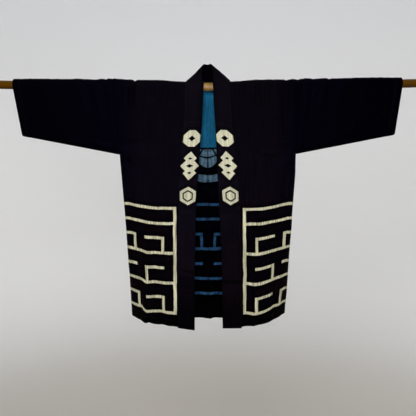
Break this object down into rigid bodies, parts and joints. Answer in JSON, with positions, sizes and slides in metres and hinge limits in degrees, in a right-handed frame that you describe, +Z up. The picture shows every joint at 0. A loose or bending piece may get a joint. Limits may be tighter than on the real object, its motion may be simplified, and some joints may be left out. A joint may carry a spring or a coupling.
{
  "type": "hanten jacket on a wooden pole",
  "caption": "Straight-cut cotton hanten jacket, open down the front with a band collar, hung by its sleeves on a round wooden pole.",
  "frame": {"origin": "on the pole's axis, halfway along it, where the middle of the jacket hangs", "axes": "+X along the pole to the wearer's left, +Y towards the wearer's back, +Z up"},
  "size_m": [1.48, 0.1335, 0.8771],
  "materials": {
    "body_cloth": "near-black indigo cotton with a resist-dyed cream pattern, matt",
    "sleeve_cloth": "near-black indigo cotton, matt",
    "collar_cloth": "near-black indigo cotton over a core, with cream motifs, matt",
    "lining_cloth": "plain blue cotton, matt",
    "pole_wood": "aged round wood, lightly polished"
  },
  "bodies": {
    "root": {"body_right": "body_cloth", "body_left": "body_cloth", "sleeve_right": "sleeve_cloth", "sleeve_left": "sleeve_cloth", "collar": "collar_cloth", "shoulder_lining_right": "lining_cloth", "shoulder_lining_left": "lining_cloth", "pole": "pole_wood"}
  },
  "joints": []
}
